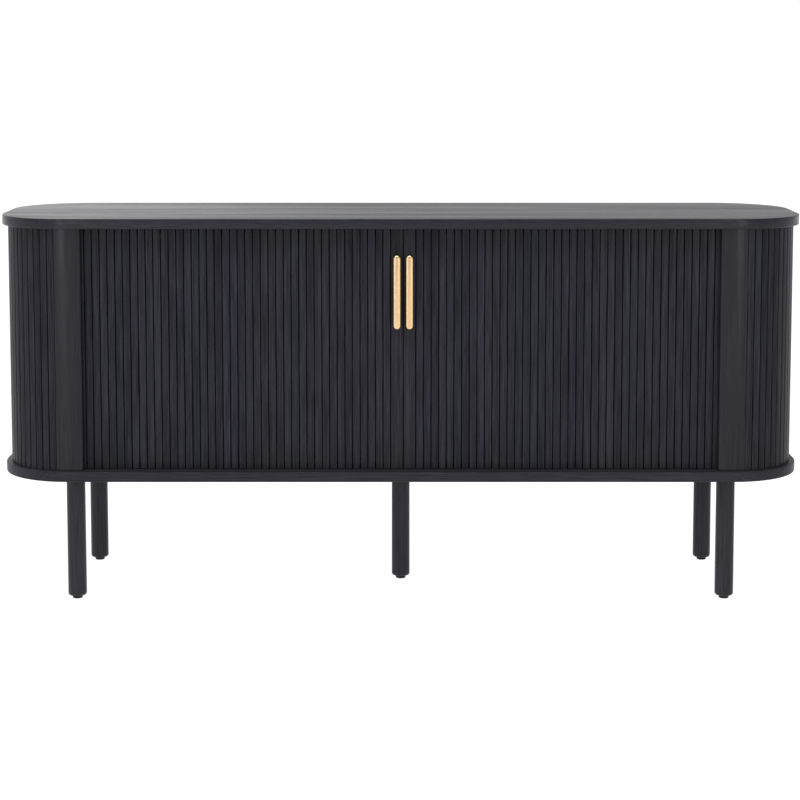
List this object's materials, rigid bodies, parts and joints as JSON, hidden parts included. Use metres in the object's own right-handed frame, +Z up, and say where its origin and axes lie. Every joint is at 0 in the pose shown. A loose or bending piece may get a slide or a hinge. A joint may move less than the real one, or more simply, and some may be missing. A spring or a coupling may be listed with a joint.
{
  "type": "sideboard buffet",
  "caption": "Black sideboard buffet with rounded slatted ends, sliding tambour doors with slim brass bar handles, shelves inside and round wooden legs.",
  "frame": {"origin": "on the floor under the middle of the cabinet", "axes": "+Z up, front with the doors faces -Y, +X to the right seen from the front"},
  "size_m": [1.6, 0.4, 0.765],
  "materials": {
    "black_wood": "black-stained open-grain veneer, satin lacquer",
    "black_board": "black-stained veneered board, matt",
    "brushed_brass": "light gold, finely brushed",
    "zinc_steel": "zinc plated",
    "raw_dowel": "raw beech",
    "nylon": "black nylon",
    "curtain_cloth": "black woven cotton backing"
  },
  "bodies": {
    "cabinet": {"back_panel": "black_board", "back_panel_screws": "zinc_steel", "base_panel": "black_wood", "cam_bolts": "zinc_steel", "cam_locks": "zinc_steel", "carcass_dowels": "raw_dowel", "carcass_screws": "zinc_steel", "centre_divider": "black_board", "centre_leg": "black_wood", "foot_inserts": "zinc_steel", "front_left_leg": "black_wood", "front_left_post": "black_wood", "front_right_leg": "black_wood", "front_right_post": "black_wood", "inner_back": "black_board", "inner_back_screws": "zinc_steel", "left_end_backing": "black_board", "left_end_slats": "black_wood", "left_inner_wall": "black_board", "left_shelf": "black_board", "leg_hanger_bolts": "zinc_steel", "leg_inserts": "zinc_steel", "rear_left_leg": "black_wood", "rear_left_post": "black_wood", "rear_right_leg": "black_wood", "rear_right_post": "black_wood", "right_end_backing": "black_board", "right_end_slats": "black_wood", "right_inner_wall": "black_board", "right_shelf": "black_board", "shelf_pins": "zinc_steel", "top_panel": "black_wood", "track_stops": "nylon"},
    "left_door": {"left_lead_stile": "black_wood", "left_handle": "brushed_brass", "left_handle_screws": "zinc_steel", "left_guide_pins": "nylon", "left_curtain_slats": "black_wood", "left_curtain_backing": "curtain_cloth"},
    "right_door": {"right_lead_stile": "black_wood", "right_handle": "brushed_brass", "right_handle_screws": "zinc_steel", "right_guide_pins": "nylon", "right_curtain_slats": "black_wood", "right_curtain_backing": "curtain_cloth"},
    "front_left_foot": {"front_left_foot": "nylon"},
    "front_right_foot": {"front_right_foot": "nylon"},
    "rear_left_foot": {"rear_left_foot": "nylon"},
    "rear_right_foot": {"rear_right_foot": "nylon"},
    "centre_foot": {"centre_foot": "nylon"}
  },
  "joints": [
    {"name": "left_door_slide", "type": "slide", "parent": "cabinet", "child": "left_door", "axis": [-1, 0, 0], "range_m": [0, 0.606], "deforming": ["left_curtain_slats", "left_curtain_backing"]},
    {"name": "right_door_slide", "type": "slide", "parent": "cabinet", "child": "right_door", "axis": [1, 0, 0], "range_m": [0, 0.596], "deforming": ["right_curtain_slats", "right_curtain_backing"]},
    {"name": "front_left_foot_levelling", "type": "slide", "parent": "cabinet", "child": "front_left_foot", "axis": [0, 0, -1], "range_m": [0, 0.008]},
    {"name": "front_right_foot_levelling", "type": "slide", "parent": "cabinet", "child": "front_right_foot", "axis": [0, 0, -1], "range_m": [0, 0.008]},
    {"name": "rear_left_foot_levelling", "type": "slide", "parent": "cabinet", "child": "rear_left_foot", "axis": [0, 0, -1], "range_m": [0, 0.008]},
    {"name": "rear_right_foot_levelling", "type": "slide", "parent": "cabinet", "child": "rear_right_foot", "axis": [0, 0, -1], "range_m": [0, 0.008]},
    {"name": "centre_foot_levelling", "type": "slide", "parent": "cabinet", "child": "centre_foot", "axis": [0, 0, -1], "range_m": [0, 0.008]}
  ]
}
